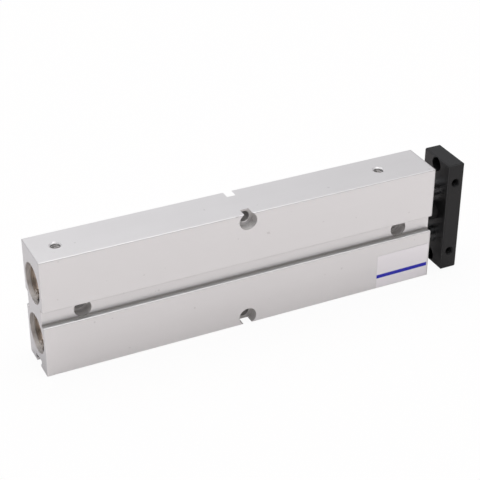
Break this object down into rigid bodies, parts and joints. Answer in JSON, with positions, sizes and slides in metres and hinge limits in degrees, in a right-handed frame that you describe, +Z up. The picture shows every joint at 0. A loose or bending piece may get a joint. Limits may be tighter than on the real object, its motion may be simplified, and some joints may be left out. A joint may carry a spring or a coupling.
{
  "type": "double rod pneumatic cylinder",
  "caption": "Slim double rod pneumatic cylinder: parallel rods in one flat extruded barrel push a black end plate straight out without letting it turn.",
  "frame": {"origin": "middle of the footprint of the whole part at rest, on the plane that the barrel's narrow base stands on", "axes": "+X along the rods, from the closed rear end to the end plate; +Y across the narrow side; +Z up through both bores, towards the air ports"},
  "size_m": [0.1956, 0.021, 0.054],
  "materials": {
    "clear_anodised_aluminium": "satin clear anodised extrusion",
    "black_anodised_aluminium": "satin black anodised",
    "turned_aluminium": "turned, natural",
    "hard_chrome": "ground and hard chromed",
    "blackened_steel": "black oxide",
    "spring_steel": "phosphated",
    "zinc_steel": "zinc plated",
    "bronze": "sintered bronze",
    "brass": "turned",
    "nitrile_rubber": "moulded, matt",
    "urethane": "moulded, amber",
    "black_urethane": "moulded, satin black",
    "acetal": "natural",
    "magnet": "sintered ferrite"
  },
  "bodies": {
    "barrel_body": {"barrel": "clear_anodised_aluminium", "upper_rear_cap": "turned_aluminium", "upper_rear_cap_ring": "nitrile_rubber", "upper_rear_pad": "urethane", "upper_rear_circlip": "spring_steel", "upper_gland": "turned_aluminium", "upper_gland_ring": "nitrile_rubber", "upper_rod_bush": "bronze", "upper_rod_seal": "urethane", "upper_rod_wiper": "nitrile_rubber", "upper_front_circlip": "spring_steel", "lower_rear_cap": "turned_aluminium", "lower_rear_cap_ring": "nitrile_rubber", "lower_rear_pad": "urethane", "lower_rear_circlip": "spring_steel", "lower_gland": "turned_aluminium", "lower_gland_ring": "nitrile_rubber", "lower_rod_bush": "bronze", "lower_rod_seal": "urethane", "lower_rod_wiper": "nitrile_rubber", "lower_front_circlip": "spring_steel"},
    "rod_carriage": {"end_plate": "black_anodised_aluminium", "rod_screws": "blackened_steel", "stop_bumper": "black_urethane", "stop_insert": "brass", "stop_screw": "blackened_steel", "piston_nuts": "zinc_steel", "lower_magnet": "magnet", "upper_spacer": "turned_aluminium", "upper_rod": "hard_chrome", "upper_rear_piston": "turned_aluminium", "upper_rear_piston_seal": "nitrile_rubber", "upper_front_piston": "turned_aluminium", "upper_front_piston_seal": "nitrile_rubber", "upper_wear_ring": "acetal", "upper_front_pad": "urethane", "lower_rod": "hard_chrome", "lower_rear_piston": "turned_aluminium", "lower_rear_piston_seal": "nitrile_rubber", "lower_front_piston": "turned_aluminium", "lower_front_piston_seal": "nitrile_rubber", "lower_wear_ring": "acetal", "lower_front_pad": "urethane"}
  },
  "joints": [
    {"name": "rod_travel", "type": "slide", "parent": "barrel_body", "child": "rod_carriage", "axis": [1, 0, 0], "range_m": [0, 0.125]}
  ]
}
